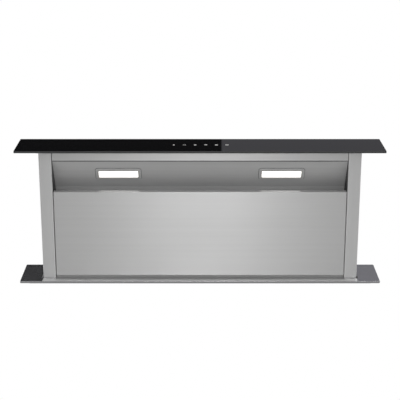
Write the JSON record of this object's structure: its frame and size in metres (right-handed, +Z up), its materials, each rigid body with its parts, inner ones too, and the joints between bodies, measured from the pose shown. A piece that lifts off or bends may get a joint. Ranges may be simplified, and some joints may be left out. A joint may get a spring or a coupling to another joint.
{
  "type": "downdraft vent",
  "caption": "Retractable downdraft vent: a lit steel riser with a black glass touch top lifts from a worktop frame over a chassis with filters, lift drive, blower and round outlet.",
  "frame": {"origin": "on the floor under the middle of the vent's bounding box", "axes": "+X to the vent's right as a user in front sees it, -Y towards the user, +Z up"},
  "size_m": [0.88, 0.3212, 1.034],
  "materials": {
    "black_glass": "polished black tempered glass, back-painted",
    "brushed_steel": "stainless steel, brushed along its length",
    "frame_steel": "stainless steel, finely polished",
    "galvanised": "galvanised sheet, dull",
    "machined_steel": "turned steel, bright",
    "bronze": "bearing bronze",
    "black_plastic": "moulded, fine texture",
    "grey_plastic": "moulded, satin",
    "opal_lens": "opal diffuser",
    "circuit_board": "solder-masked laminate",
    "filter_alloy": "pressed aluminium, satin",
    "motor_black": "black enamel",
    "rubber": "moulded rubber"
  },
  "bodies": {
    "chassis": {"worktop_frame": "frame_steel", "chassis_front": "galvanised", "chassis_back": "galvanised", "chassis_side_left": "galvanised", "chassis_side_right": "galvanised", "divider_left": "galvanised", "divider_right": "galvanised", "floor_pan": "galvanised", "belt_cover": "galvanised", "foot_front_left": "rubber", "foot_front_right": "rubber", "foot_back_left": "rubber", "foot_back_right": "rubber", "foot_blower_left": "rubber", "foot_blower_right": "rubber", "upper_bearing_left": "black_plastic", "upper_bearing_right": "black_plastic", "guide_rod_left": "machined_steel", "guide_rod_right": "machined_steel", "lift_motor": "motor_black", "drive_belt": "rubber", "blower_housing": "galvanised", "blower_cover": "galvanised", "blower_scroll": "black_plastic", "blower_motor": "motor_black", "outlet_collar": "black_plastic", "control_box": "black_plastic", "control_box_lid": "black_plastic", "cable_gland": "black_plastic", "worktop_clamp_left": "galvanised", "worktop_clamp_right": "galvanised"},
    "riser": {"glass_top": "black_glass", "glass_seal": "rubber", "head_rail": "brushed_steel", "touch_board": "circuit_board", "light_panel": "brushed_steel", "lamp_housing_left": "grey_plastic", "lamp_housing_right": "grey_plastic", "lamp_lens_left": "opal_lens", "lamp_lens_right": "opal_lens", "column_left": "brushed_steel", "column_right": "brushed_steel", "riser_back_panel": "brushed_steel", "riser_skirt": "galvanised", "riser_foot_plate": "galvanised", "carriage_left": "black_plastic", "carriage_right": "black_plastic", "lead_nut_left": "bronze", "lead_nut_right": "bronze"},
    "panel": {"front_panel": "brushed_steel"},
    "filters": {"grease_filter_left": "filter_alloy", "grease_filter_right": "filter_alloy"},
    "left_screw": {"lead_screw_left": "machined_steel", "screw_pulley_left": "black_plastic"},
    "right_screw": {"lead_screw_right": "machined_steel", "screw_pulley_right": "black_plastic"},
    "motor_shaft": {"motor_pulley": "machined_steel"},
    "fan_wheel": {"impeller": "galvanised"},
    "front_flap": {"damper_flap_front": "black_plastic"},
    "back_flap": {"damper_flap_back": "black_plastic"}
  },
  "joints": [
    {"name": "riser_lift", "type": "slide", "parent": "chassis", "child": "riser", "axis": [0, 0, 1], "range_m": [-0.32, 0]},
    {"name": "left_screw_turn", "type": "hinge", "parent": "chassis", "child": "left_screw", "pos_m": [-0.4025, 0.09115, 0.4], "axis": [0, 0, 1], "range_deg": [-10, 11530]},
    {"name": "right_screw_turn", "type": "hinge", "parent": "chassis", "child": "right_screw", "pos_m": [0.4025, 0.09115, 0.4], "axis": [0, 0, 1], "range_deg": [-10, 11530]},
    {"name": "motor_turn", "type": "hinge", "parent": "chassis", "child": "motor_shaft", "pos_m": [-0.366, 0.12815, 0.07], "axis": [0, 0, 1], "range_deg": [-10, 11530]},
    {"name": "fan_spin", "type": "hinge", "parent": "chassis", "child": "fan_wheel", "pos_m": [-0.05, -0.03, 0.185], "axis": [0, 1, 0], "continuous": true},
    {"name": "front_flap_swing", "type": "hinge", "parent": "chassis", "child": "front_flap", "pos_m": [0.2143, -0.02865, 0.281], "axis": [0, 0, 1], "range_deg": [0, 75], "stiffness_Nm_per_rad": 0.01},
    {"name": "back_flap_swing", "type": "hinge", "parent": "chassis", "child": "back_flap", "pos_m": [0.2143, -0.02865, 0.281], "axis": [0, 0, 1], "range_deg": [-75, 0]},
    {"name": "panel_off", "type": "slide", "parent": "riser", "child": "panel", "axis": [0, -1, 0], "range_m": [0, 0.06]},
    {"name": "filters_off", "type": "slide", "parent": "riser", "child": "filters", "axis": [0, -1, 0], "range_m": [0, 0.03]}
  ],
  "couplings": [
    {"joint": "left_screw_turn", "follows": "riser_lift", "rad_per_m": -628.32},
    {"joint": "right_screw_turn", "follows": "riser_lift", "rad_per_m": -628.32},
    {"joint": "motor_turn", "follows": "riser_lift", "rad_per_m": -628.32},
    {"joint": "back_flap_swing", "follows": "front_flap_swing", "ratio": -1},
    {"joint": "filters_off", "follows": "panel_off", "ratio": 0.5}
  ]
}
